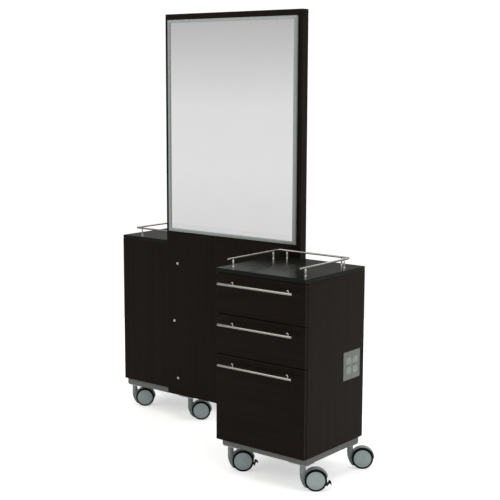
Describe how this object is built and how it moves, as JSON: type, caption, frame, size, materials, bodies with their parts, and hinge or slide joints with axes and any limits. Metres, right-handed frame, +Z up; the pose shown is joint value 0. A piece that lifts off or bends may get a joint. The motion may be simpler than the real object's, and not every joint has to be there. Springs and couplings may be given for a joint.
{
  "type": "salon styling station",
  "caption": "Double-sided mobile salon styling station: tall wood panel with framed mirrors, drawer cabinets with gallery rails, outlets and hooded casters.",
  "frame": {"origin": "on the floor, under the centre of the mirror panel", "axes": "+Z up; +X along the panel; the right cabinet's drawers open towards -Y and the left cabinet's towards +Y"},
  "size_m": [1.4992, 0.93, 1.8525],
  "materials": {
    "wood": "dark espresso wood laminate, satin",
    "drawer_box": "pale birch board, lacquered",
    "mirror": "silvered bevelled glass",
    "mirror_frame": "satin silver moulding",
    "brushed": "brushed",
    "bolt": "satin cap",
    "frame_paint": "silver grey powder coat",
    "zinc": "zinc plated",
    "outlet_plate": "brushed stainless",
    "receptacle": "grey moulded",
    "caster_grey": "grey moulded nylon",
    "tyre": "dark tread rubber",
    "lever": "black moulded"
  },
  "bodies": {
    "station": {"caster_plates": "zinc", "drawer_tracks": "zinc", "front_mirror": "mirror", "front_mirror_frame": "mirror_frame", "left_base_frame": "frame_paint", "left_cabinet_back": "wood", "left_cabinet_bottom": "wood", "left_cabinet_sides": "wood", "left_gallery_rail": "brushed", "left_worktop": "wood", "mirror_panel": "wood", "outlet_boxes": "receptacle", "outlet_plates": "outlet_plate", "panel_bolts": "bolt", "rear_mirror": "mirror", "rear_mirror_frame": "mirror_frame", "right_base_frame": "frame_paint", "right_cabinet_back": "wood", "right_cabinet_bottom": "wood", "right_cabinet_sides": "wood", "right_gallery_rail": "brushed", "right_worktop": "wood"},
    "right_top_drawer": {"right_top_drawer_face": "wood", "right_top_drawer_box": "drawer_box", "right_top_drawer_handle": "brushed"},
    "right_middle_drawer": {"right_middle_drawer_face": "wood", "right_middle_drawer_box": "drawer_box", "right_middle_drawer_handle": "brushed"},
    "right_bottom_drawer": {"right_bottom_drawer_face": "wood", "right_bottom_drawer_box": "drawer_box", "right_bottom_drawer_handle": "brushed"},
    "left_top_drawer": {"left_top_drawer_face": "wood", "left_top_drawer_box": "drawer_box", "left_top_drawer_handle": "brushed"},
    "left_middle_drawer": {"left_middle_drawer_face": "wood", "left_middle_drawer_box": "drawer_box", "left_middle_drawer_handle": "brushed"},
    "left_bottom_drawer": {"left_bottom_drawer_face": "wood", "left_bottom_drawer_box": "drawer_box", "left_bottom_drawer_handle": "brushed"},
    "right_front_inner_caster": {"right_front_inner_caster_fork": "caster_grey"},
    "right_front_inner_wheels": {"right_front_inner_caster_wheels": "tyre"},
    "right_front_inner_brake": {"right_front_inner_brake_lever": "lever"},
    "right_front_outer_caster": {"right_front_outer_caster_fork": "caster_grey"},
    "right_front_outer_wheels": {"right_front_outer_caster_wheels": "tyre"},
    "right_front_outer_brake": {"right_front_outer_brake_lever": "lever"},
    "right_back_inner_caster": {"right_back_inner_caster_fork": "caster_grey"},
    "right_back_inner_wheels": {"right_back_inner_caster_wheels": "tyre"},
    "right_back_outer_caster": {"right_back_outer_caster_fork": "caster_grey"},
    "right_back_outer_wheels": {"right_back_outer_caster_wheels": "tyre"},
    "left_front_inner_caster": {"left_front_inner_caster_fork": "caster_grey"},
    "left_front_inner_wheels": {"left_front_inner_caster_wheels": "tyre"},
    "left_front_inner_brake": {"left_front_inner_brake_lever": "lever"},
    "left_front_outer_caster": {"left_front_outer_caster_fork": "caster_grey"},
    "left_front_outer_wheels": {"left_front_outer_caster_wheels": "tyre"},
    "left_front_outer_brake": {"left_front_outer_brake_lever": "lever"},
    "left_back_inner_caster": {"left_back_inner_caster_fork": "caster_grey"},
    "left_back_inner_wheels": {"left_back_inner_caster_wheels": "tyre"},
    "left_back_outer_caster": {"left_back_outer_caster_fork": "caster_grey"},
    "left_back_outer_wheels": {"left_back_outer_caster_wheels": "tyre"}
  },
  "joints": [
    {"name": "right_top_drawer_slide", "type": "slide", "parent": "station", "child": "right_top_drawer", "axis": [0, -1, 0], "range_m": [0, 0.28]},
    {"name": "right_middle_drawer_slide", "type": "slide", "parent": "station", "child": "right_middle_drawer", "axis": [0, -1, 0], "range_m": [0, 0.2]},
    {"name": "right_bottom_drawer_slide", "type": "slide", "parent": "station", "child": "right_bottom_drawer", "axis": [0, -1, 0], "range_m": [0, 0.2]},
    {"name": "left_top_drawer_slide", "type": "slide", "parent": "station", "child": "left_top_drawer", "axis": [0, 1, 0], "range_m": [0, 0.28]},
    {"name": "left_middle_drawer_slide", "type": "slide", "parent": "station", "child": "left_middle_drawer", "axis": [0, 1, 0], "range_m": [0, 0.2]},
    {"name": "left_bottom_drawer_slide", "type": "slide", "parent": "station", "child": "left_bottom_drawer", "axis": [0, 1, 0], "range_m": [0, 0.2]},
    {"name": "right_front_inner_swivel", "type": "hinge", "parent": "station", "child": "right_front_inner_caster", "pos_m": [0.296, -0.378, 0.088], "axis": [0, 0, 1], "continuous": true},
    {"name": "right_front_inner_roll", "type": "hinge", "parent": "right_front_inner_caster", "child": "right_front_inner_wheels", "pos_m": [0.33633, -0.34761, 0.0435], "axis": [-0.6018, 0.7986, 0], "continuous": true},
    {"name": "right_front_inner_brake_press", "type": "hinge", "parent": "right_front_inner_caster", "child": "right_front_inner_brake", "pos_m": [0.36668, -0.32474, 0.0295], "axis": [-0.6018, 0.7986, 0], "range_deg": [0, 26]},
    {"name": "right_front_outer_swivel", "type": "hinge", "parent": "station", "child": "right_front_outer_caster", "pos_m": [0.655, -0.378, 0.088], "axis": [0, 0, 1], "continuous": true},
    {"name": "right_front_outer_roll", "type": "hinge", "parent": "right_front_outer_caster", "child": "right_front_outer_wheels", "pos_m": [0.69533, -0.34761, 0.0435], "axis": [-0.6018, 0.7986, 0], "continuous": true},
    {"name": "right_front_outer_brake_press", "type": "hinge", "parent": "right_front_outer_caster", "child": "right_front_outer_brake", "pos_m": [0.72568, -0.32474, 0.0295], "axis": [-0.6018, 0.7986, 0], "range_deg": [-26, 0]},
    {"name": "right_back_inner_swivel", "type": "hinge", "parent": "station", "child": "right_back_inner_caster", "pos_m": [0.296, -0.048, 0.088], "axis": [0, 0, 1], "continuous": true},
    {"name": "right_back_inner_roll", "type": "hinge", "parent": "right_back_inner_caster", "child": "right_back_inner_wheels", "pos_m": [0.33633, -0.01761, 0.0435], "axis": [-0.6018, 0.7986, 0], "continuous": true},
    {"name": "right_back_outer_swivel", "type": "hinge", "parent": "station", "child": "right_back_outer_caster", "pos_m": [0.655, -0.048, 0.088], "axis": [0, 0, 1], "continuous": true},
    {"name": "right_back_outer_roll", "type": "hinge", "parent": "right_back_outer_caster", "child": "right_back_outer_wheels", "pos_m": [0.69533, -0.01761, 0.0435], "axis": [-0.6018, 0.7986, 0], "continuous": true},
    {"name": "left_front_inner_swivel", "type": "hinge", "parent": "station", "child": "left_front_inner_caster", "pos_m": [-0.296, 0.378, 0.088], "axis": [0, 0, 1], "continuous": true},
    {"name": "left_front_inner_roll", "type": "hinge", "parent": "left_front_inner_caster", "child": "left_front_inner_wheels", "pos_m": [-0.33633, 0.34761, 0.0435], "axis": [0.6018, -0.7986, 0], "continuous": true},
    {"name": "left_front_inner_brake_press", "type": "hinge", "parent": "left_front_inner_caster", "child": "left_front_inner_brake", "pos_m": [-0.36668, 0.32474, 0.0295], "axis": [0.6018, -0.7986, 0], "range_deg": [0, 26]},
    {"name": "left_front_outer_swivel", "type": "hinge", "parent": "station", "child": "left_front_outer_caster", "pos_m": [-0.655, 0.378, 0.088], "axis": [0, 0, 1], "continuous": true},
    {"name": "left_front_outer_roll", "type": "hinge", "parent": "left_front_outer_caster", "child": "left_front_outer_wheels", "pos_m": [-0.69533, 0.34761, 0.0435], "axis": [0.6018, -0.7986, 0], "continuous": true},
    {"name": "left_front_outer_brake_press", "type": "hinge", "parent": "left_front_outer_caster", "child": "left_front_outer_brake", "pos_m": [-0.72568, 0.32474, 0.0295], "axis": [0.6018, -0.7986, 0], "range_deg": [-26, 0]},
    {"name": "left_back_inner_swivel", "type": "hinge", "parent": "station", "child": "left_back_inner_caster", "pos_m": [-0.296, 0.048, 0.088], "axis": [0, 0, 1], "continuous": true},
    {"name": "left_back_inner_roll", "type": "hinge", "parent": "left_back_inner_caster", "child": "left_back_inner_wheels", "pos_m": [-0.25567, 0.07839, 0.0435], "axis": [-0.6018, 0.7986, 0], "continuous": true},
    {"name": "left_back_outer_swivel", "type": "hinge", "parent": "station", "child": "left_back_outer_caster", "pos_m": [-0.655, 0.048, 0.088], "axis": [0, 0, 1], "continuous": true},
    {"name": "left_back_outer_roll", "type": "hinge", "parent": "left_back_outer_caster", "child": "left_back_outer_wheels", "pos_m": [-0.61467, 0.07839, 0.0435], "axis": [-0.6018, 0.7986, 0], "continuous": true}
  ]
}
